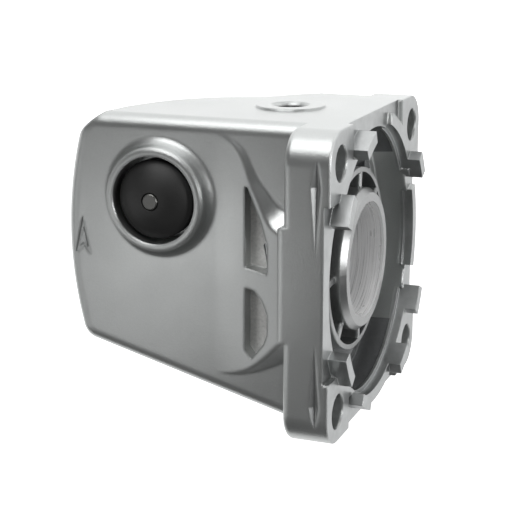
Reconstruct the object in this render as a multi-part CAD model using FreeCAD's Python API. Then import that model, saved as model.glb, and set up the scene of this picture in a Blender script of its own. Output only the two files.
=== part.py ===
# Right-angle gear head: die-cast gear housing with a motor flange and bearing
# bore at the back, a lock button on the button face, and a threaded output
# spindle that leaves through a bearing box on the opposite face.
# Frame: origin on the motor axis in the plane of the four flange pads,
# +X out of the motor bore, +Z out of the button face, output spindle along -Z.
import FreeCAD, Part
import math
import os
from FreeCAD import Vector as V

os.makedirs("parts", exist_ok=True)

# ---------------------------------------------------------------- dimensions
motor_bearing_d = 30.0      # outside diameter of the motor's front bearing
bearing_depth = 9.5         # length of its seat
hub_face_x = -2.5           # face of the bearing seat's ring
flange_w = 77.0             # square motor flange, across flats
flange_t = 11.6             # flange thickness at its corners
flange_corner_r = 8.0
screw_edge = 7.9            # from the flange's side to its screws
screw_hole_r = 2.3
screw_pocket_r = 4.5
pad_step = 1.4              # how far the rim lies below the corner pads
head_len = 75.2             # pads to nose
face_z = 27.0               # button face above the motor axis
base_z = -26.0              # bearing box seat
wall_edge_r = 3.5           # rounding round the button face

chamber_r = 23.8            # gear chamber
roof_z = 18.5               # gear chamber roof
nose_wall = 3.9             # wall between the gear chamber and the nose
spindle_thread_r = 7.0      # M14 output thread
journal_r = 6.0             # 12 mm bore bearing and gear seat
needle_seat_r = 4.0         # 8 mm journal in the needle bearing
collar_r = 21.0             # guard collar
box_t = 5.0                 # bearing box plate

gear_teeth = 40
pinion_teeth = 10
gear_back_z = 14.0

lock_y = 18.0
lock_offset = -1.0          # lock axis, along X from the output axis
lock_travel = 4.2
lock_pin_r = 2.0
lock_tip_r = 2.75
cap_r = 10.0                # lock button
boss_h = 4.0                # collar round it

tab_h = 3.3                 # locating tabs
ring_x = -5.2               # rear face of the thin ring round the hub

# values that follow from the sizes above
bore_r = motor_bearing_d / 2
half = flange_w / 2
side_y = half               # the straight side is flush with the flange
screw_spacing = flange_w - 2 * screw_edge
cavity_r = half - 4.2
register_r = half - 3.3
tab_r = half - 0.2
hub_r = bore_r + 3.5        # ring round the motor bearing
ring_r = hub_r + 5.2        # thin outer ring joined to it by eight ribs
spindle_x = chamber_r + nose_wall - head_len
gear_r = chamber_r - 1.3
box_screw = (chamber_r + 5.2) / math.sqrt(2)
box_w = 2 * (box_screw + 5.5)
boss_bore_r = cap_r + 1.1
lock_x = spindle_x + lock_offset
gap_run = 0.03              # radial clearance of running fits
lock_rho = math.hypot(lock_x - spindle_x, lock_y)
lock_phi = math.degrees(math.atan2(lock_y, lock_x - spindle_x))


# ------------------------------------------------------------------- helpers
def box(x0, x1, y0, y1, z0, z1):
    return Part.makeBox(x1 - x0, y1 - y0, z1 - z0, V(x0, y0, z0))


def cyl_z(r, z0, z1, x=spindle_x, y=0.0):
    return Part.makeCylinder(r, z1 - z0, V(x, y, z0), V(0, 0, 1))


def cyl_x(r, x0, x1, y=0.0, z=0.0):
    return Part.makeCylinder(r, x1 - x0, V(x0, y, z), V(1, 0, 0))


def cyl_y(r, y0, y1, x, z=0.0):
    return Part.makeCylinder(r, y1 - y0, V(x, y0, z), V(0, 1, 0))


def cone_x(r0, r1, x0, x1):
    return Part.makeCone(r0, r1, x1 - x0, V(x0, 0, 0), V(1, 0, 0))


def tube_z(ri, ro, z0, z1, x=spindle_x, y=0.0):
    return cyl_z(ro, z0, z1, x, y).cut(cyl_z(ri, z0 - 1, z1 + 1, x, y))


def lathe(points, x=spindle_x, y=0.0):
    """Turned solid about a vertical axis from (radius, height) points."""
    pts = [V(x + r, y, z) for r, z in points]
    face = Part.Face(Part.makePolygon(pts + [pts[0]]))
    return face.revolve(V(x, y, 0), V(0, 0, 1), 360)


def prism_z(points, z0, z1):
    pts = [V(x, y, z0) for x, y in points]
    return Part.Face(Part.makePolygon(pts + [pts[0]])).extrude(V(0, 0, z1 - z0))


def prism_y(points, y0, y1):
    pts = [V(x, y0, z) for x, z in points]
    return Part.Face(Part.makePolygon(pts + [pts[0]])).extrude(V(0, y1 - y0, 0))


def edges(shape, test):
    """Edges whose middle point passes the test."""
    found = []
    for e in shape.Edges:
        u = (e.FirstParameter + e.LastParameter) / 2
        p = e.valueAt(u)
        if test(p, e):
            found.append(e)
    return found


def rounded_plate_x(w, r, x0, x1):
    plate = box(x0, x1, -w / 2, w / 2, -w / 2, w / 2)
    return plate.makeFillet(r, edges(plate, lambda p, e: abs(abs(p.y) - w / 2) < 1e-6 and abs(abs(p.z) - w / 2) < 1e-6))


def rounded_plate_z(w, r, z0, z1, x=spindle_x):
    plate = box(x - w / 2, x + w / 2, -w / 2, w / 2, z0, z1)
    return plate.makeFillet(r, edges(plate, lambda p, e: abs(abs(p.y) - w / 2) < 1e-6 and abs(abs(p.x - x) - w / 2) < 1e-6))


def sector_x(ri, ro, x0, x1, a0, a1):
    """Piece of a ring about the motor axis, angles from -Z towards +Y."""
    ring = cyl_x(ro, x0, x1).cut(cyl_x(ri, x0 - 1, x1 + 1))
    reach = ro * 1.6
    n = max(1, int(math.ceil((a1 - a0) / 60.0)))
    pts = [V(x0 - 1, 0, 0)]
    for i in range(n + 1):
        a = math.radians(a0 + (a1 - a0) * i / n)
        pts.append(V(x0 - 1, reach * math.sin(a), -reach * math.cos(a)))
    wedge = Part.Face(Part.makePolygon(pts + [pts[0]])).extrude(V(x1 - x0 + 2, 0, 0))
    return ring.common(wedge)


def fuse(first, *rest):
    return first.fuse(list(rest)).removeSplitter()


def one_solid(shape):
    shape = shape.removeSplitter()
    solids = sorted(shape.Solids, key=lambda s: -s.Volume)
    return solids[0]


# -------------------------------------------------------------- gear housing
# Plan outline of the body: bowed nose, one side straight and flush with the
# flange, the other side narrowing towards the nose.
nose_mid = V(-head_len, 8.0, base_z)
nose_top = V(-head_len + 5.3, side_y, base_z)
nose_low = V(-head_len + 3.9, -20.9, base_z)
slope = 0.268
low_end = V(-5.0, -20.9 - slope * (head_len - 3.9 - 5.0), base_z)
top_end = V(-5.0, side_y, base_z)
outline = Part.Wire([
    Part.makeLine(top_end, nose_top),
    Part.Arc(nose_top, nose_mid, nose_low).toShape(),
    Part.makeLine(nose_low, low_end),
    Part.makeLine(low_end, top_end),
])
body = Part.Face(outline).extrude(V(0, 0, face_z - base_z))
body = body.makeFillet(7.0, edges(body, lambda p, e: (p - V(nose_top.x, nose_top.y, p.z)).Length < 0.1))
body = body.makeFillet(5.0, edges(body, lambda p, e: (p - V(nose_low.x, nose_low.y, p.z)).Length < 0.1))
body = body.makeFillet(wall_edge_r, edges(body, lambda p, e: abs(p.z - face_z) < 1e-6 and p.x < -5.5))

# The side falls away below a slanting line from the nose to the flange.
# (distance from the nose, height) of that line on the straight side.
fall_line = [(-4.8, 47.5), (2.7, 37.5), (8.2, 30.0), (10.4, 26.0), (12.4, 16.3), (15.3, 7.6), (20.0, -1.0), (25.0, -5.9),
             (30.6, -10.0), (39.0, -14.2), (46.2, -22.0), (50.6, -25.8), (54.7, -31.0)]
fall_pts = [V(x - head_len, side_y, z) for x, z in fall_line]
fall_curve = Part.BSplineCurve()
fall_curve.interpolate(fall_pts)
far = [fall_pts[-1], V(fall_pts[-1].x, side_y, -120), V(-200, side_y, -120), V(-200, side_y, fall_pts[0].z), fall_pts[0]]
fall_face = Part.Face(Part.Wire([fall_curve.toShape()] + [Part.makeLine(far[i], far[i + 1]) for i in range(4)]))
lean_in = V(0, -0.574, -1.0)
fall_face.translate(lean_in * -25)
body = body.cut(fall_face.extrude(lean_in * 150))

# Round spindle housing and the square seat of the bearing box.
round_part = cyl_z(chamber_r + 2.2, base_z, face_z - wall_edge_r)
seat = rounded_plate_z(box_w, 8.0, base_z, base_z + 9.0)
flange = rounded_plate_x(flange_w, flange_corner_r, -flange_t, 0.0)
flange = flange.makeFillet(1.4, edges(flange, lambda p, e: abs(p.x + flange_t) < 1e-6))
flange = flange.makeFillet(0.5, edges(flange, lambda p, e: abs(p.x) < 1e-6))

# Low swell between the button face and the flange, which carries the air
# outlets. Its flanks slope down to the flat corners left clear for the screws.
swell_x0, swell_x1 = -34.0, -13.3
swell_r = 46.0


def swell_z(x):
    return face_z + swell_r - math.sqrt(swell_r ** 2 - max(0.0, x - swell_x0) ** 2)


swell_mid = (swell_x0 + swell_x1) / 2
swell_wire = Part.Wire([
    Part.Arc(V(swell_x0, -50, face_z), V(swell_mid, -50, swell_z(swell_mid)), V(swell_x1, -50, swell_z(swell_x1))).toShape(),
    Part.makeLine(V(swell_x1, -50, swell_z(swell_x1)), V(swell_x1, -50, 20.0)),
    Part.makeLine(V(swell_x1, -50, 20.0), V(swell_x0, -50, 20.0)),
    Part.makeLine(V(swell_x0, -50, 20.0), V(swell_x0, -50, face_z)),
])
swell = Part.Face(swell_wire).extrude(V(0, 100, 0))
flank_a = [(-38.0, 34.4), (-30.0, 34.2), (-26.5, 30.6), (-24.9, 26.8), (-23.6, 23.3), (-21.8, 19.9), (-20.1, 16.5), (-18.7, 14.4), (-16.6, 12.8), (-9.0, 10.5)]
flank_b = [(-38.0, -26.4), (-34.0, -26.3), (-28.0, -25.3), (-24.0, -23.4), (-19.2, -19.2), (-16.6, -16.5), (-9.0, -12.5)]


def flank(points, side, z):
    """One flank's line at height z. It leans outwards below the swell and inwards above it."""
    moved = []
    for x, y in points:
        out = 1.1 * (swell_z(x) - z)
        moved.append(V(x + out, y + side * out, z))
    curve = Part.BSplineCurve()
    curve.interpolate(moved)
    return curve.toShape(), moved


def plan(z):
    ca, pa = flank(flank_a, 1, z)
    cb, pb = flank(flank_b, -1, z)
    return Part.Wire([ca, Part.makeLine(pa[-1], pb[-1]), cb, Part.makeLine(pb[0], pa[0])])


swell = swell.common(Part.makeLoft([plan(25.5), plan(33.5)], True, True))
swell = swell.makeFillet(1.2, edges(swell, lambda p, e: face_z + 0.3 < p.z < swell_z(swell_x1) - 0.05 and p.x < swell_x1 - 0.5 and abs(p.y) > 9))

# The flange is thicker between its corners.
step_a, step_b = 16.0, -12.5
thick = box(swell_x1, -6.0, step_b, step_a, 18.0, half)
thick = thick.makeFillet(1.4, edges(thick, lambda p, e: abs(p.x - swell_x1) < 1e-6 and p.z > 19.0))

# Steeper ramp on the spindle side.
under_x = spindle_x + box_w / 2 + 0.7
under = prism_y([(under_x, base_z + 2), (under_x, base_z), (-flange_t, -half), (-6, -half), (-6, base_z + 6), (under_x, base_z + 6)], -26.0, 26.0)

# Side handle bosses.
handle_x = -23.8
boss_top = cyl_y(9.0, side_y - 4.0, side_y + 0.5, handle_x)
boss_low_y = 3.9 - half
boss_low = cyl_y(9.0, boss_low_y, boss_low_y + 9.0, handle_x)

# Collar round the lock button, flared at its foot.
rim_z = face_z + boss_h
foot_r = boss_bore_r + 4.1
collar = lathe([(0.0, face_z - 4.0), (foot_r, face_z - 4.0), (foot_r, face_z), (foot_r - 0.8, face_z + 0.5), (foot_r - 1.5, face_z + 1.6),
                (foot_r - 1.9, face_z + 2.8), (foot_r - 2.3, rim_z), (0.0, rim_z)], lock_x, lock_y)
collar = collar.makeFillet(1.2, edges(collar, lambda p, e: abs(p.z - rim_z) < 1e-6 and e.Length > 20))

housing = fuse(body, round_part, seat, flange, swell, thick, under, boss_top, boss_low, collar)

# Motor side: cavity round the bearing hub, narrowing inwards.
floor_x = -22.0
cavity = cyl_x(cavity_r, -9.8, 1.0).fuse(cone_x(cavity_r - 9.2, cavity_r - 2.8, floor_x, -9.8))
cavity = cavity.cut(box(-60, -10.5, -60, 60, -60, base_z + 3.5))
cavity = cavity.cut(cyl_z(chamber_r + 2.8, base_z - 1, 60))
cavity = cavity.cut(cyl_x(ring_r, -60, ring_x)).cut(cyl_x(hub_r, -60, hub_face_x))
hub_slope = 1.5
cavity = cavity.fuse(cyl_x(hub_r + 1, ring_x + 0.5, 0.0).cut(cone_x(hub_r, hub_r - 1.2, hub_face_x - hub_slope, hub_face_x)).cut(cyl_x(hub_r, -60, hub_face_x - hub_slope)))
cavity = cavity.cut(cyl_y(7.2, side_y - 14.5, side_y + 20, handle_x)).cut(cyl_y(7.2, boss_low_y - 20, boss_low_y + 11.6, handle_x))
housing = housing.cut(cavity)

# Eight dark pockets between the hub and the thin ring.
pockets = cyl_x(ring_r - 1.3, -15.0, ring_x).cut(cyl_x(hub_r, -16.0, 0.0))
for rib_angle in (-3.5, -51.0, -97.0, -139.0, 180.0, 138.0, 96.0, 46.0):
    rib = Part.makeBox(40.0, 1.5, 40.0, V(-30.0, -0.75, 0.0))
    rib.rotate(V(0, 0, 0), V(1, 0, 0), -rib_angle)
    pockets = pockets.cut(rib)
housing = housing.cut(pockets)

# Rim: corner pads proud of the rest, a register for the motor housing cut in
# three arcs, and locating tabs.
pad_in = half - 17.0        # where the corner pads begin
for sgn in (-1, 1):
    near, out = sorted((sgn * (half - 8.5), sgn * (half + 20)))
    housing = housing.cut(box(-pad_step, 1, -pad_in, pad_in, near, out))
    housing = housing.cut(box(-pad_step, 1, near, out, -pad_in, pad_in))
lands = [(-16.0, 20.0), (32.0, 72.0), (-105.0, -27.0)]
for a0, a1 in lands:
    land = sector_x(register_r - 1.2, half - 0.2, -3.2, 0.0, a0, a1)
    housing = housing.fuse(land)
    housing = housing.cut(sector_x(cavity_r - 2.0, register_r, -2.4, 1.0, a0, a1))
tabs = [(27.0, 37.5), (-36.5, -25.0), (-67.0, -54.0), (-123.0, -111.0), (111.0, 123.0), (142.5, 154.5), (-155.0, -141.0)]
housing = housing.fuse([sector_x(register_r, tab_r, -3.0, tab_h, a0, a1) for a0, a1 in tabs]).removeSplitter()

# Motor bearing bore, its shoulder and the way through for the pinion.
housing = housing.cut(cyl_x(bore_r, hub_face_x - bearing_depth, 1.0))
housing = housing.cut(cyl_x(bore_r - 2.5, hub_face_x - bearing_depth - 2.0, 0.0))
housing = housing.cut(cyl_x(9.5, spindle_x + 7.5, -10.0))

# Flange screw holes with deep pockets at the back.
s = screw_spacing / 2
for y in (-s, s):
    for z in (-s, s):
        housing = housing.cut(cyl_x(screw_pocket_r, -4.0, 1.0, y, z))
        housing = housing.cut(cyl_x(screw_hole_r, -flange_t - 6.0, 1.0, y, z))

# Gear chamber, needle bearing seat and lock pin guide.
guide_z = 16.2
chamber = cyl_z(chamber_r, base_z - 1.0, roof_z)
chamber = chamber.cut(cyl_z(9.0, guide_z, roof_z + 1)).cut(cyl_z(5.5, guide_z, roof_z + 1, lock_x, lock_y))
housing = housing.cut(chamber)
needle_r = needle_seat_r + 2.0
needle_z0, needle_z1 = 16.5, 24.5
housing = housing.cut(cyl_z(needle_r, guide_z - 1, needle_z1))
lock_floor = 22.0
tip_pocket_z = 17.7
housing = housing.cut(cyl_z(boss_bore_r, lock_floor, rim_z + 1, lock_x, lock_y))
housing = housing.cut(cyl_z(lock_pin_r + gap_run, 10.0, lock_floor + 1, lock_x, lock_y))
housing = housing.cut(cyl_z(lock_tip_r + 0.1, guide_z - 1, tip_pocket_z, lock_x, lock_y))
housing = housing.cut(cyl_z(4.0, lock_floor - 1.7, lock_floor + 1, lock_x, lock_y))

# Air outlets in the swell. They have a floor on the gear side and open into the
# motor side's cavity on the other.
vent_z = 24.0
vent_a = [(-25.3, 24.0), (-20.9, 14.8), (-18.9, 8.8), (-18.9, 1.6), (-25.3, 2.4)]
vent_b = [(-25.3, -2.7), (-22.6, -3.1), (-20.4, -5.4), (-18.9, -8.6), (-18.9, -13.6), (-19.9, -16.2), (-23.6, -21.0), (-25.4, -18.8)]
vents = prism_z(vent_a, vent_z, 45.0).fuse(prism_z(vent_b, vent_z, 45.0))
vents = vents.makeFillet(0.4, edges(vents, lambda p, e: abs(p.z - (vent_z + 45.0) / 2) < 0.1))
housing = housing.cut(vents)

# Flutes in the flange's side beside the two screws.
for y0, y1, yw in ((8.6, 34.6, 26.0), (-11.2, -35.2, -27.5)):
    top = half + 0.02
    A, B = V(-3.5, y0, top), V(-3.3, y1, top)
    L, R, D = V(-4.8, yw, top), V(-2.2, yw, top), V(-3.3, yw, half - 1.2)
    faces = [Part.Face(Part.makePolygon(list(t) + [t[0]])) for t in
             ((A, L, R), (B, R, L), (A, D, L), (A, R, D), (B, L, D), (B, D, R))]
    flute = Part.Solid(Part.Shell(faces))
    housing = housing.cut(flute)

# Side handle threads (modelled at the thread's core) and their mouths.
handle_r = 4.25
housing = housing.cut(cyl_y(handle_r, side_y + 0.5 - 13.5, side_y + 2, handle_x))
housing = housing.cut(Part.makeCone(handle_r, handle_r + 0.8, 0.8, V(handle_x, side_y - 0.3, 0), V(0, 1, 0)))
housing = housing.cut(cyl_y(handle_r, boss_low_y - 2, boss_low_y + 11.0, handle_x))
housing = housing.cut(Part.makeCone(handle_r + 0.8, handle_r, 0.8, V(handle_x, boss_low_y, 0), V(0, 1, 0)))

# Bearing box screw holes.
screw_r = 2.0
box_screws = [(spindle_x + sx * box_screw, sy * box_screw) for sx in (-1, 1) for sy in (-1, 1)]
for x, y in box_screws:
    housing = housing.fuse(cyl_z(4.6, base_z, base_z + 14.0, x, y).cut(cyl_z(chamber_r, base_z - 1, 30)))
housing = housing.removeSplitter()
for x, y in box_screws:
    housing = housing.cut(cyl_z(screw_r, base_z - 1, base_z + 11.0, x, y))

# Turning arrow, sunk in the button face near the nose.
arrow = [(4.8, 11.4), (2.5, 2.0), (3.1, 1.9), (4.9, 3.6), (6.5, 1.7), (7.0, 1.8)]
inner = [(4.85, 8.6), (3.6, 3.4), (4.9, 4.6), (6.0, 3.5)]
arrow, inner = ([(x - head_len, y) for x, y in pts] for pts in (arrow, inner))
housing = housing.cut(prism_z(arrow, face_z - 0.4, face_z + 1).cut(prism_z(inner, face_z - 1, face_z + 2)))
housing = one_solid(housing)

# ---------------------------------------------------------------- lock button
cap_top = 32.9
cap_edge = 29.2
sag = cap_top - cap_edge
dome_r = (cap_r ** 2 + sag ** 2) / (2 * sag)
cap = cyl_z(cap_r, 26.6, 34.0, lock_x, lock_y).common(Part.makeSphere(dome_r, V(lock_x, lock_y, cap_top - dome_r)))
cap = cap.makeFillet(0.5, edges(cap, lambda p, e: abs(p.z - cap_edge) < 0.01 and e.Length > 20))
cap = cap.cut(cyl_z(cap_r - 1.6, 20.0, 28.2, lock_x, lock_y))
spring_top = 29.6
cap = cap.cut(tube_z(cap_r - 5.7, cap_r - 2.6, 20.0, spring_top, lock_x, lock_y))
cap = cap.fuse(cyl_z(cap_r - 5.7, 26.6, 30.0, lock_x, lock_y))
cap = cap.cut(cyl_z(lock_pin_r, 20.0, 40.0, lock_x, lock_y))
cap = cap.cut(Part.makeCone(lock_pin_r, lock_pin_r + 0.45, 0.55, V(lock_x, lock_y, cap_top - 0.62), V(0, 0, 1)))
lock_button = one_solid(cap)

tip_top = tip_pocket_z - 0.1
lock_pin = one_solid(lathe([(0, tip_top - 3.1), (lock_tip_r - 0.5, tip_top - 3.1), (lock_tip_r, tip_top - 2.6), (lock_tip_r, tip_top),
                            (lock_pin_r, tip_top), (lock_pin_r, cap_top - 0.25), (lock_pin_r - 0.25, cap_top), (0, cap_top)], lock_x, lock_y))

lock_oring = Part.makeTorus(lock_pin_r + gap_run + 0.83, 0.8, V(lock_x, lock_y, lock_floor - 0.85), V(0, 0, 1))

# Spring of round wire, lofted through sections square to the coil.
wire_r = 0.5
coil_r = cap_r - 4.1
turns = 2.25
spring_h = spring_top - lock_floor - 2 * wire_r - 0.1
sections = []
steps = 36
for i in range(steps + 1):
    a = 2 * math.pi * turns * i / steps
    radial = V(math.cos(a), math.sin(a), 0)
    along = V(-coil_r * math.sin(a), coil_r * math.cos(a), spring_h / (2 * math.pi * turns)).normalize()
    across = along.cross(radial)
    mid = V(lock_x, lock_y, lock_floor + wire_r + 0.05 + spring_h * i / steps) + radial * coil_r
    loop = Part.BSplineCurve()
    loop.interpolate([mid + radial * (wire_r * math.cos(u * math.pi / 5)) + across * (wire_r * math.sin(u * math.pi / 5)) for u in range(10)], PeriodicFlag=True)
    sections.append(Part.Wire([loop.toShape()]))
lock_spring = one_solid(Part.makeLoft(sections, True, False))

# ------------------------------------------------------------ needle bearing
needle_cup = one_solid(lathe([(needle_r - 0.5, needle_z0 + 0.5), (needle_r - 1.3, needle_z0 + 0.5), (needle_r - 1.3, needle_z0), (needle_r, needle_z0),
                              (needle_r, needle_z1), (needle_r - 1.3, needle_z1), (needle_r - 1.3, needle_z1 - 0.5), (needle_r - 0.5, needle_z1 - 0.5)]))
needle_n = 14
needle_pitch_r = needle_seat_r + 0.75
roller_r = 0.73
rollers = []
for k in range(needle_n):
    a = 2 * math.pi * k / needle_n
    rollers.append(cyl_z(roller_r, needle_z0 + 1.2, needle_z1 - 1.2, spindle_x + needle_pitch_r * math.cos(a), needle_pitch_r * math.sin(a)))
needle_rollers = Part.makeCompound(rollers)
needle_cage = tube_z(needle_pitch_r - 0.35, needle_pitch_r + 0.35, needle_z0 + 0.8, needle_z1 - 0.8)
for k in range(needle_n):
    a = 2 * math.pi * k / needle_n
    needle_cage = needle_cage.cut(cyl_z(roller_r + 0.04, needle_z0 + 1.15, needle_z1 - 1.15, spindle_x + needle_pitch_r * math.cos(a), needle_pitch_r * math.sin(a)))
needle_cage = one_solid(needle_cage)

# -------------------------------------------------------------------- spindle
brg_z1 = -9.5               # top of the ball bearing
brg_w = 10.0
brg_z0 = brg_z1 - brg_w
shoulder_r = journal_r + 2.5
head_r = shoulder_r + 0.8     # the part with the spanner flats
flat_seat_z = -44.0
thread_end_z = -60.0
hub_z0, hub_z1 = 2.5, 13.0
clip_z0, clip_z1 = 13.1, 14.1
step_z = 15.4
neck_r = needle_seat_r
groove_r = journal_r - 0.6
spindle = lathe([(0, step_z + 8.6), (neck_r - 0.4, step_z + 8.6), (neck_r, step_z + 8.2), (neck_r, step_z), (journal_r - 0.4, step_z), (journal_r, step_z - 0.4),
                 (journal_r, clip_z1 + 0.05), (groove_r, clip_z1 + 0.05), (groove_r, clip_z0), (journal_r, clip_z0),
                 (journal_r, brg_z0), (shoulder_r, brg_z0), (shoulder_r, -35.5), (head_r, -35.5), (head_r, flat_seat_z),
                 (spindle_thread_r, flat_seat_z), (spindle_thread_r, flat_seat_z - 0.6), (spindle_thread_r - 0.9, flat_seat_z - 0.9),
                 (spindle_thread_r - 0.9, flat_seat_z - 1.5), (spindle_thread_r, flat_seat_z - 2.3), (spindle_thread_r, thread_end_z + 1.2),
                 (spindle_thread_r - 1.2, thread_end_z), (0, thread_end_z)])
flat_y = head_r - 1.3
for sgn in (-1, 1):
    near, out = sorted((sgn * flat_y, sgn * (head_r + 3)))
    spindle = spindle.cut(box(spindle_x - 12, spindle_x + 12, near, out, flat_seat_z - 0.01, -37.0))
key_w = 3.0
key_in, key_out = spindle_x + journal_r - 1.6, spindle_x + journal_r + 1.2
spindle = spindle.cut(box(key_in, spindle_x + journal_r + 2, -key_w / 2, key_w / 2, 3.5, 11.5))
spindle = one_solid(spindle)
gear_key = box(key_in, key_out, -key_w / 2, key_w / 2, 3.5, 11.5)

# ----------------------------------------------------------------- crown gear
ratio = pinion_teeth / gear_teeth
face_in = gear_r - 9.0
boss_r = journal_r + 4.0
blank = lathe([(journal_r, hub_z0), (boss_r, hub_z0), (boss_r + 0.5, face_in * ratio + 1.8), (face_in - 0.6, face_in * ratio - 1.0), (gear_r, gear_r * ratio - 1.0),
               (gear_r, gear_back_z - 0.8), (gear_r - 0.8, gear_back_z), (boss_r + 1.5, gear_back_z), (boss_r, hub_z1), (journal_r, hub_z1)])
cuts = []
for k in range(gear_teeth):
    profiles = []
    for r in (face_in - 2.0, gear_r + 1.5):
        zt, zr = r * ratio - 1.3, r * ratio + 1.15
        w_top = 2 * math.pi * r / gear_teeth * 0.36
        w_bot = w_top * 0.45
        profiles.append(Part.makePolygon([V(r, -w_top, zt), V(r, w_top, zt), V(r, w_bot, zr), V(r, -w_bot, zr), V(r, -w_top, zt)]))
    gash = Part.makeLoft(profiles, True, True)
    gash.rotate(V(0, 0, 0), V(0, 0, 1), 360.0 * k / gear_teeth)
    gash.translate(V(spindle_x, 0, 0))
    cuts.append(gash)
crown = blank.cut(cuts)
crown = crown.cut(box(spindle_x + 2, key_out + 0.05, -key_w / 2, key_w / 2, hub_z0 - 1, hub_z1 + 1).cut(cyl_z(journal_r - 0.5, 0, 20)))
for k in range(4):
    a = math.radians(lock_phi + 90.0 * k)
    crown = crown.cut(cyl_z(lock_tip_r + 0.3, 9.8, 20.0, spindle_x + lock_rho * math.cos(a), lock_rho * math.sin(a)))
crown_gear = one_solid(crown)

clip = tube_z(groove_r, journal_r + 2.2, clip_z0, clip_z1).cut(box(spindle_x - 12, spindle_x, -1.6, 1.6, clip_z0 - 1, clip_z1 + 1))
gear_circlip = one_solid(clip)
gear_spacer = tube_z(journal_r, journal_r + 2.0, brg_z1, hub_z0)

# --------------------------------------------------------------- ball bearing
ball_r = 2.975
pitch_r = journal_r + 5.0
mid_z = (brg_z0 + brg_z1) / 2
groove = Part.makeTorus(pitch_r, ball_r + 0.03, V(spindle_x, 0, mid_z), V(0, 0, 1))
outer_r = pitch_r + 5.0
inner_ring = tube_z(journal_r, pitch_r - 1.7, brg_z0, brg_z1).cut(groove)
inner_ring = one_solid(inner_ring)
outer_ring = tube_z(pitch_r + 1.8, outer_r, brg_z0, brg_z1).cut(groove)
for z in (brg_z0 + 1.3, brg_z1 - 1.3):
    outer_ring = outer_ring.cut(tube_z(pitch_r + 1.0, pitch_r + 2.4, z - 0.35, z + 0.35))
outer_ring = one_solid(outer_ring)
ball_n = 7
balls = []
for k in range(ball_n):
    a = 2 * math.pi * k / ball_n
    balls.append(Part.makeSphere(ball_r, V(spindle_x + pitch_r * math.cos(a), pitch_r * math.sin(a), mid_z)))
bearing_balls = Part.makeCompound(balls)
cage = tube_z(pitch_r - 1.2, pitch_r + 1.3, mid_z - 1.2, mid_z + 3.3)
for k in range(ball_n):
    a = 2 * math.pi * k / ball_n
    cage = cage.cut(Part.makeSphere(ball_r + 0.08, V(spindle_x + pitch_r * math.cos(a), pitch_r * math.sin(a), mid_z)))
bearing_cage = one_solid(cage)
shields = [tube_z(pitch_r - 1.55, pitch_r + 2.35, z - 0.3, z + 0.3) for z in (brg_z0 + 1.3, brg_z1 - 1.3)]
bearing_shields = Part.makeCompound(shields)

# ---------------------------------------------------------------- bearing box
collar_z = base_z - box_t - 10.0
box_bore = outer_r - 2.4
bb = rounded_plate_z(box_w, 8.0, base_z - box_t, base_z)
bb = bb.fuse([cyl_z(chamber_r - 0.03, base_z - 1, brg_z1), cyl_z(collar_r, collar_z, base_z)])
bb = bb.cut(tube_z(collar_r - 1.0, collar_r + 2, base_z - box_t - 1.6, base_z - box_t))
bb = bb.cut(cyl_z(outer_r, brg_z0, 0.0)).cut(cyl_z(box_bore, collar_z - 1, 0.0))
oring_z = base_z + 3.0
bb = bb.cut(tube_z(chamber_r - 1.75, chamber_r + 1, oring_z - 1.0, oring_z + 1.0))
for x, y in box_screws:
    bb = bb.cut(cyl_z(2.25, base_z - box_t - 1, base_z + 1, x, y))
retainer_hole_r = chamber_r - 4.8
retainer_pts = [(spindle_x + retainer_hole_r * math.cos(math.radians(a)), retainer_hole_r * math.sin(math.radians(a))) for a in (60, 180, 300)]
for x, y in retainer_pts:
    bb = bb.cut(cyl_z(1.5, brg_z1 - 7.0, 0.0, x, y))
bb = bb.removeSplitter()
bb = bb.makeFillet(1.0, edges(bb, lambda p, e: abs(p.z - (base_z - box_t)) < 1e-6 and max(abs(p.x - spindle_x), abs(p.y)) > box_w / 2 - 5 and e.Length > 5))
bb = bb.makeFillet(0.6, edges(bb, lambda p, e: abs(p.z - collar_z) < 1e-6 and math.hypot(p.x - spindle_x, p.y) > collar_r - 0.1))
bearing_box = one_solid(bb)

screws = []
head_h = 2.6
for x, y in box_screws:
    z0 = base_z - box_t
    screw = lathe([(0, z0 - head_h), (2.4, z0 - head_h), (3.3, z0 - head_h + 0.9), (3.5, z0 - 0.4), (3.5, z0), (screw_r - 0.02, z0),
                   (screw_r - 0.02, z0 + 13.0), (screw_r - 0.6, z0 + 13.6), (0, z0 + 13.6)], x, y)
    for turn in (0, 90):
        slot = box(x - 1.7, x + 1.7, y - 0.4, y + 0.4, z0 - head_h - 1, z0 - head_h + 1.5)
        slot.rotate(V(x, y, 0), V(0, 0, 1), turn + 45)
        screw = screw.cut(slot)
    screws.append(one_solid(screw))
bearing_box_screws = Part.makeCompound(screws)

bearing_box_oring = Part.makeTorus(chamber_r - 0.88, 0.84, V(spindle_x, 0, oring_z), V(0, 0, 1))

retainer = tube_z(outer_r - 1.8, chamber_r - 2.0, brg_z1, brg_z1 + 1.5)
for x, y in retainer_pts:
    retainer = retainer.cut(cyl_z(1.7, -20, 0, x, y))
bearing_retainer = one_solid(retainer)
rs = []
for x, y in retainer_pts:
    z0 = brg_z1 + 1.5
    s1 = lathe([(0, z0 + 1.5), (1.8, z0 + 1.5), (2.6, z0 + 0.5), (2.6, z0), (1.48, z0), (1.48, brg_z1 - 6.0), (0, brg_z1 - 6.0)], x, y)
    for turn in (0, 90):
        slot = box(x - 1.2, x + 1.2, y - 0.3, y + 0.3, z0 + 0.7, z0 + 3)
        slot.rotate(V(x, y, 0), V(0, 0, 1), turn)
        s1 = s1.cut(slot)
    rs.append(one_solid(s1))
retainer_screws = Part.makeCompound(rs)

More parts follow.
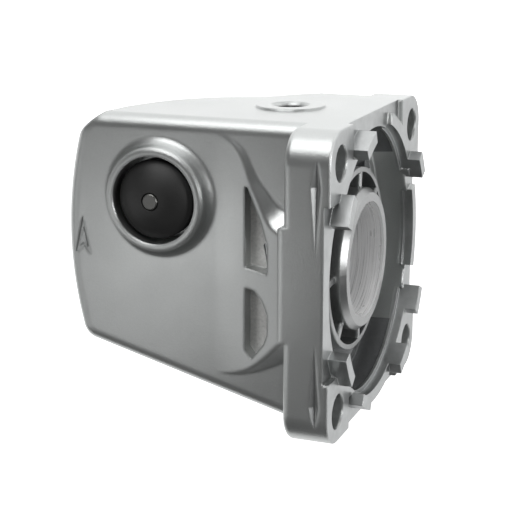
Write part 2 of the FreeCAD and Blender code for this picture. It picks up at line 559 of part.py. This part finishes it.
felt_ring = tube_z(shoulder_r + gap_run, box_bore, -24.5, -21.0)
labyrinth_ring = one_solid(lathe([(shoulder_r, -27.0), (box_bore - 0.5, -27.0), (box_bore - 0.5, -28.2), (shoulder_r + 2.5, -28.2), (shoulder_r + 2.5, -30.0),
                                  (box_bore - 0.5, -30.0), (box_bore - 0.5, -31.2), (shoulder_r + 2.5, -31.2), (shoulder_r + 2.5, -35.4), (shoulder_r, -35.4)]))

# --------------------------------------------------------------------- export
nodes = {
    "gear_housing": housing,
    "lock_button": lock_button,
    "lock_pin": lock_pin,
    "lock_spring": lock_spring,
    "lock_oring": lock_oring,
    "needle_cup": needle_cup,
    "needle_rollers": needle_rollers,
    "needle_cage": needle_cage,
    "spindle": spindle,
    "gear_key": gear_key,
    "crown_gear": crown_gear,
    "gear_circlip": gear_circlip,
    "gear_spacer": gear_spacer,
    "bearing_inner_ring": inner_ring,
    "bearing_outer_ring": outer_ring,
    "bearing_balls": bearing_balls,
    "bearing_cage": bearing_cage,
    "bearing_shields": bearing_shields,
    "bearing_box": bearing_box,
    "bearing_box_screws": bearing_box_screws,
    "bearing_box_oring": bearing_box_oring,
    "bearing_retainer": bearing_retainer,
    "retainer_screws": retainer_screws,
    "felt_ring": felt_ring,
    "labyrinth_ring": labyrinth_ring,
}
for name, shape in nodes.items():
    shape.exportStep("parts/%s.step" % name)
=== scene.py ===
import math

import bpy
from mathutils import Matrix, Vector


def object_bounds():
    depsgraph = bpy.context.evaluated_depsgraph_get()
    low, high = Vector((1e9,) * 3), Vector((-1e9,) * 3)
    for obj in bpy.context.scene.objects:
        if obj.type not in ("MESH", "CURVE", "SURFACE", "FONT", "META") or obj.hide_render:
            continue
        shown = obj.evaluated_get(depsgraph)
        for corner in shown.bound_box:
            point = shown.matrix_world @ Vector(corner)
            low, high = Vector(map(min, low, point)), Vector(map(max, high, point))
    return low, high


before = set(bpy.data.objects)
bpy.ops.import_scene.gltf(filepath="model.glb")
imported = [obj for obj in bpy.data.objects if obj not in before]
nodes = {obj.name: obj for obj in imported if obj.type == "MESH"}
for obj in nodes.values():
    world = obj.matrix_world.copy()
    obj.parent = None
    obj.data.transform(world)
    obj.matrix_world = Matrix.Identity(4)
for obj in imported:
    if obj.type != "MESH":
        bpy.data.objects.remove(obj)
cad_lo, cad_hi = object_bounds()

# The object's own dimensions, in millimetres, by which its surfaces are told apart.
MM = 0.001
HALF = 38.5                 # half the flange
BORE_R = 15.0               # motor bearing bore
CAVITY_R = 34.5             # motor side's cavity
RIM_X = 0.05                # what stands past the flange's pads
HUB_FACE_R = 24.5           # hub and its thin ring
VENT_FLOOR_Z = 24.0
SPINDLE_X = -47.5
HANDLE_X = -23.8
HANDLE_THREAD_R = 4.25
HANDLE_PITCH = 1.25
OUTPUT_THREAD_R = 7.0
OUTPUT_THREAD_TOP = -45.5
OUTPUT_PITCH = 2.0

# ------------------------------------------------------------------ node helpers


def new_material(name):
    material = bpy.data.materials.new(name)
    material.use_nodes = True
    nt = material.node_tree
    nt.nodes.clear()
    out = nt.nodes.new("ShaderNodeOutputMaterial")
    bsdf = nt.nodes.new("ShaderNodeBsdfPrincipled")
    nt.links.new(bsdf.outputs[0], out.inputs[0])
    return material, nt, bsdf


def node(nt, kind, **values):
    """A new node. Each value goes to the input of that name, or else to the property."""
    n = nt.nodes.new(kind)
    for key, value in values.items():
        if key in n.inputs:
            n.inputs[key].default_value = value
        else:
            setattr(n, key, value)
    return n


def coords(nt, scale=(1, 1, 1)):
    place = node(nt, "ShaderNodeTexCoord")
    mapping = node(nt, "ShaderNodeMapping", Scale=scale)
    nt.links.new(place.outputs["Object"], mapping.inputs["Vector"])
    return mapping.outputs[0]


def noise(nt, scale, detail=4.0, rough=0.55, stretch=(1, 1, 1)):
    n = node(nt, "ShaderNodeTexNoise", Scale=scale, Detail=detail, Roughness=rough)
    nt.links.new(coords(nt, stretch), n.inputs["Vector"])
    return n.outputs["Fac"]


def ramp(nt, fac, stops):
    """Colours set out along fac. Each stop is its position and its colour."""
    r = node(nt, "ShaderNodeValToRGB")
    elements = r.color_ramp.elements
    while len(elements) < len(stops):
        elements.new(0.5)
    for element, (position, colour) in zip(elements, stops):
        element.position = position
        element.color = colour if len(colour) == 4 else (*colour, 1)
    nt.links.new(fac, r.inputs[0])
    return r.outputs[0]


def grey(value):
    return (value, value, value, 1)


def bump(nt, height, strength, distance, normal=None):
    b = node(nt, "ShaderNodeBump", Strength=strength, Distance=distance)
    nt.links.new(height, b.inputs["Height"])
    if normal is not None:
        nt.links.new(normal, b.inputs["Normal"])
    return b.outputs[0]


def soft_edges(nt, radius):
    b = node(nt, "ShaderNodeBevel", Radius=radius)
    b.samples = 4
    return b.outputs[0]


# --------------------------------------------------------------------- materials

FINE_SHARE, WIDE_SHARE = 0.45, 0.55         # of the grain and the patches in a metal's tone


def metal(name, colour, spread, rough, metallic=1.0, tint=1.0, edge=0.0,
          grain=900.0, grain_height=0.00003, grain_strength=0.4, patches=40.0, stretch=(1, 1, 1)):
    """Metal with a fine grain, larger patches of tone and uneven roughness."""
    material, nt, bsdf = new_material(name)
    bsdf.inputs["Metallic"].default_value = metallic
    bsdf.inputs["Specular Tint"].default_value = grey(tint)
    fine = noise(nt, grain, 6.0, 0.6, stretch)
    wide = noise(nt, patches, 3.0, 0.5)
    scaled = node(nt, "ShaderNodeMath", operation="MULTIPLY")
    scaled.inputs[1].default_value = WIDE_SHARE
    nt.links.new(wide, scaled.inputs[0])
    mixed = node(nt, "ShaderNodeMath", operation="MULTIPLY_ADD")
    mixed.inputs[1].default_value = FINE_SHARE
    nt.links.new(fine, mixed.inputs[0])
    nt.links.new(scaled.outputs[0], mixed.inputs[2])
    dark = tuple(c * (1 - spread) for c in colour)
    light = tuple(min(1, c * (1 + spread)) for c in colour)
    smooth, dull = grey(rough - 0.04), grey(rough + 0.05)
    nt.links.new(ramp(nt, mixed.outputs[0], [(0.3, dark), (0.7, light)]), bsdf.inputs["Base Color"])
    nt.links.new(ramp(nt, wide, [(0.3, smooth), (0.7, dull)]), bsdf.inputs["Roughness"])
    rounded = soft_edges(nt, edge) if edge else None
    nt.links.new(bump(nt, fine, grain_strength, grain_height, rounded), bsdf.inputs["Normal"])
    return material


cast = metal("cast_aluminium", (0.45, 0.462, 0.458), 0.06, 0.33, metallic=0.92, edge=0.0012,
             grain=1900.0, grain_height=0.00007, grain_strength=0.45)
# Inside of the motor cavity: raw unpainted casting, and its dark base colour is also painted shade for
# the deep recess.
inner = metal("raw_casting_and_painted_shade", (0.17, 0.175, 0.178), 0.14, 0.42, metallic=0.8, edge=0.0004,
              grain_height=0.00008)
machined = metal("machined_face", (0.42, 0.43, 0.43), 0.14, 0.34, tint=0.6, edge=0.0003,
                 grain=500.0, grain_height=0.00002, grain_strength=0.3, patches=160.0)
hub_face = metal("hub_face", (0.32, 0.325, 0.325), 0.12, 0.34, tint=0.7, edge=0.0003,
                 grain=500.0, grain_height=0.00002, grain_strength=0.3, patches=160.0)
vent_floor = metal("vent_floor", (0.8, 0.8, 0.78), 0.25, 0.45, metallic=0.6,
                   grain=1300.0, grain_height=0.0002, grain_strength=0.8)
box_cast = metal("box_casting", (0.5, 0.51, 0.51), 0.06, 0.4, metallic=0.9, edge=0.0004,
                 grain=1500.0, grain_height=0.00005)
ground = metal("ground_steel", (0.13, 0.13, 0.126), 0.1, 0.36, edge=0.0002,
               grain=700.0, grain_height=0.00001)
turned = metal("turned_steel", (0.36, 0.36, 0.37), 0.1, 0.3, edge=0.0002,
               grain=60.0, stretch=(1, 1, 60))
polished = metal("bearing_steel", (0.62, 0.62, 0.63), 0.04, 0.14, grain=300.0, grain_height=0.000005)
sheet_steel = metal("pressed_sheet", (0.48, 0.48, 0.47), 0.08, 0.32, edge=0.0002,
                    grain=500.0, grain_height=0.00001)
gear_metal = metal("gear_steel", (0.27, 0.27, 0.28), 0.12, 0.34, edge=0.0002, grain=700.0)
spring_metal = metal("spring_steel", (0.3, 0.3, 0.3), 0.1, 0.3, grain_height=0.00001)
zinc = metal("zinc_plate", (0.55, 0.56, 0.57), 0.08, 0.3, edge=0.0002,
             grain=400.0, grain_height=0.00001)


def turned_bore():
    """Bore turned on a lathe, with fine rings of uneven depth."""
    material, nt, bsdf = new_material("turned_bore")
    bsdf.inputs["Metallic"].default_value = 0.4
    rings = noise(nt, 40.0, 6.0, 0.7, (110, 1, 1))
    wide = noise(nt, 60.0, 3.0, 0.5, (6, 1, 1))
    tones = [(0.36, grey(0.45)), (0.46, grey(0.85)), (0.7, grey(0.98))]
    nt.links.new(ramp(nt, rings, tones), bsdf.inputs["Base Color"])
    nt.links.new(ramp(nt, wide, [(0.3, grey(0.24)), (0.7, grey(0.36))]), bsdf.inputs["Roughness"])
    nt.links.new(bump(nt, rings, 0.9, 0.00006), bsdf.inputs["Normal"])
    return material


def moulded_plastic():
    material, nt, bsdf = new_material("black_plastic")
    fine = noise(nt, 2200.0, 4.0, 0.6)
    wide = noise(nt, 120.0, 3.0, 0.5)
    nt.links.new(ramp(nt, wide, [(0.3, grey(0.010)), (0.7, grey(0.017))]), bsdf.inputs["Base Color"])
    nt.links.new(ramp(nt, wide, [(0.3, grey(0.42)), (0.7, grey(0.52))]), bsdf.inputs["Roughness"])
    nt.links.new(bump(nt, fine, 0.4, 0.00003), bsdf.inputs["Normal"])
    return material


def seal_rubber():
    material, nt, bsdf = new_material("seal_rubber")
    fine = noise(nt, 900.0, 4.0, 0.6)
    nt.links.new(ramp(nt, fine, [(0.3, grey(0.008)), (0.7, grey(0.02))]), bsdf.inputs["Base Color"])
    bsdf.inputs["Roughness"].default_value = 0.62
    nt.links.new(bump(nt, fine, 0.4, 0.00003), bsdf.inputs["Normal"])
    return material


def pressed_felt():
    material, nt, bsdf = new_material("pressed_felt")
    fibre = noise(nt, 1400.0, 8.0, 0.75)
    tones = [(0.3, (0.30, 0.28, 0.24)), (0.7, (0.55, 0.52, 0.46))]
    nt.links.new(ramp(nt, fibre, tones), bsdf.inputs["Base Color"])
    bsdf.inputs["Roughness"].default_value = 0.95
    nt.links.new(bump(nt, fibre, 0.9, 0.0003), bsdf.inputs["Normal"])
    return material


def thread_metal(name, tone, pitch, along, rough):
    """Metal with a thread cut in it: V grooves of one pitch along an axis, with a fine machined grain,
    and painted shade that darkens the colour deep in each groove.
    """
    material, nt, bsdf = new_material(name)
    bsdf.inputs["Metallic"].default_value = 0.95
    bsdf.inputs["Roughness"].default_value = rough
    wave = node(nt, "ShaderNodeTexWave", wave_type="BANDS", bands_direction=along, wave_profile="TRI")
    wave.inputs["Scale"].default_value = math.pi / (10 * pitch)
    nt.links.new(coords(nt), wave.inputs["Vector"])
    depth = wave.outputs["Fac"]
    # painted shade: the colour falls to 0.45 of the tone down in the grooves, where shade falls
    tones = [(0.15, grey(tone * 0.45)), (0.75, grey(tone))]
    nt.links.new(ramp(nt, depth, tones), bsdf.inputs["Base Color"])
    fine = bump(nt, noise(nt, 900.0), 0.3, 0.00002)
    nt.links.new(bump(nt, depth, 1.0, pitch * 0.45, fine), bsdf.inputs["Normal"])
    return material


bore_metal = turned_bore()
plastic = moulded_plastic()
rubber = seal_rubber()
felt = pressed_felt()
spindle_thread = thread_metal("spindle_thread", 0.4, OUTPUT_PITCH * MM, "Z", 0.3)
handle_thread = thread_metal("handle_thread", 0.5, HANDLE_PITCH * MM, "Y", 0.36)

# ---------------------------------------------------------------------- dressing

# Each slot, the material on it, and the nodes that carry it.
DRESS = (
    ("cast_aluminium", cast, ["gear_housing"]),
    ("box_aluminium", box_cast, ["bearing_box"]),
    ("black_plastic", plastic, ["lock_button"]),
    ("pin_steel", ground, ["lock_pin", "gear_key", "gear_spacer", "labyrinth_ring"]),
    ("spring_steel", spring_metal, ["lock_spring", "gear_circlip"]),
    ("bearing_steel", polished, ["needle_cup", "needle_rollers", "bearing_inner_ring",
                                 "bearing_outer_ring", "bearing_balls"]),
    ("cage_steel", sheet_steel, ["needle_cage", "bearing_cage", "bearing_shields", "bearing_retainer"]),
    ("spindle_steel", turned, ["spindle"]),
    ("gear_steel", gear_metal, ["crown_gear"]),
    ("screw_steel", zinc, ["bearing_box_screws", "retainer_screws"]),
    ("seal_rubber", rubber, ["lock_oring", "bearing_box_oring"]),
    ("felt", felt, ["felt_ring"]),
)

for slot, material, names in DRESS:
    for name in names:
        nodes[name].data.materials.clear()
        nodes[name].data.materials.append(material)

CAST, INNER, MACHINED, BORE, VENT, HUB, THREAD = range(7)


def housing_surface(c, n):
    """Which surface a face of the housing belongs to, from its centre in millimetres and its normal."""
    r = math.hypot(c.y, c.z)
    inward = c.y * n.y + c.z * n.z < 0
    handle_r = math.hypot(c.x - HANDLE_X, c.z)
    in_vent = c.z > VENT_FLOOR_Z - 0.1 and c.x < -18
    if abs(handle_r - HANDLE_THREAD_R) < 0.1 and abs(n.y) < 0.2 and abs(c.y) > 20:
        return THREAD
    if abs(r - BORE_R) < 0.25 and -12.2 < c.x < -2.0 and abs(n.x) < 0.3 and inward:
        return BORE
    if c.x > -5.6 and n.x > 0.6:
        return HUB if r < HUB_FACE_R else MACHINED
    if c.x > RIM_X or (c.x > -3.3 and 33.0 < r < 36.0 and inward and n.x > -0.5):
        return MACHINED
    if (c.x > -40 and r < CAVITY_R and not in_vent and (inward or n.x > 0.3)
            and abs(c.y) < HALF - 1 and -25 < c.z < 26):
        return INNER
    if abs(c.z - VENT_FLOOR_Z) < 0.1 and n.z > 0.9 and -26 < c.x < -18:
        return VENT
    return CAST


housing = nodes["gear_housing"].data
for extra in (inner, machined, bore_metal, vent_floor, hub_face, handle_thread):
    housing.materials.append(extra)
for face in housing.polygons:
    face.material_index = housing_surface(face.center / MM, face.normal)

spindle = nodes["spindle"].data
spindle.materials.append(spindle_thread)
for face in spindle.polygons:
    c = face.center / MM
    on_thread_r = abs(math.hypot(c.x - SPINDLE_X, c.y) - OUTPUT_THREAD_R) < 0.15
    face.material_index = int(c.z < OUTPUT_THREAD_TOP and on_thread_r and abs(face.normal.z) < 0.3)

# ------------------------------------------------------------------------- stage

FLOOR_SIDE = 8.0
FLOOR_GAP = 0.0005          # under the object's lowest point
AIM = (-0.03, 0, 0)


def plane(name, side, z, material):
    mesh = bpy.data.meshes.new(name)
    s = side / 2
    mesh.from_pydata([(-s, -s, z), (s, -s, z), (s, s, z), (-s, s, z)], [], [(0, 1, 2, 3)])
    mesh.materials.append(material)
    o = bpy.data.objects.new(name, mesh)
    bpy.context.scene.collection.objects.link(o)
    return o


def pale_floor():
    material, _, bsdf = new_material("pale_floor")
    bsdf.inputs["Base Color"].default_value = grey(0.85)
    bsdf.inputs["Roughness"].default_value = 0.9
    bsdf.inputs["Emission Color"].default_value = grey(1.0)
    bsdf.inputs["Emission Strength"].default_value = 0.85
    return material


def area(name, location, target, side, power):
    """Square softbox at location, facing target."""
    light = bpy.data.lights.new(name, "AREA")
    light.shape = "SQUARE"
    light.size = side
    light.energy = power
    o = bpy.data.objects.new(name, light)
    bpy.context.scene.collection.objects.link(o)
    o.location = location
    o.rotation_mode = "QUATERNION"
    o.rotation_quaternion = (Vector(target) - Vector(location)).to_track_quat("-Z", "Y")


plane("floor", FLOOR_SIDE, cad_lo.z - FLOOR_GAP, pale_floor())

world = bpy.data.worlds.new("studio")
bpy.context.scene.world = world
world.use_nodes = True
background = world.node_tree.nodes["Background"]
background.inputs[0].default_value = grey(1.0)
background.inputs[1].default_value = 0.14

area("key", (-0.15, 0.9, 0.45), AIM, 0.8, 7.0)
area("softbox", (-0.127, -0.044, 0.203), (-0.045, 0.005, 0.027), 0.075, 0.026)
area("left", (-0.7, -0.2, 0.42), AIM, 0.5, 0.5)
area("side", (0.5, 0.12, 0.2), (-0.01, 0, 0), 0.25, 1.8)

# ------------------------------------------------------------------------ camera

back = Vector((0.3546, 0.2509, 0.9007)).normalized()
right = Vector((0.9305, 0.0, -0.3663)).normalized()
camera = bpy.data.objects.new("camera", bpy.data.cameras.new("camera"))
bpy.context.scene.collection.objects.link(camera)
camera.matrix_world = Matrix((right, back.cross(right), back)).transposed().to_4x4()
camera.location = (0.097607, 0.090585, 0.332631)
camera.data.lens = 97.6
camera.data.sensor_width = 36.0
camera.data.clip_start, camera.data.clip_end = 0.01, 20.0
bpy.context.scene.camera = camera
bpy.context.scene.view_settings.view_transform = "Standard"
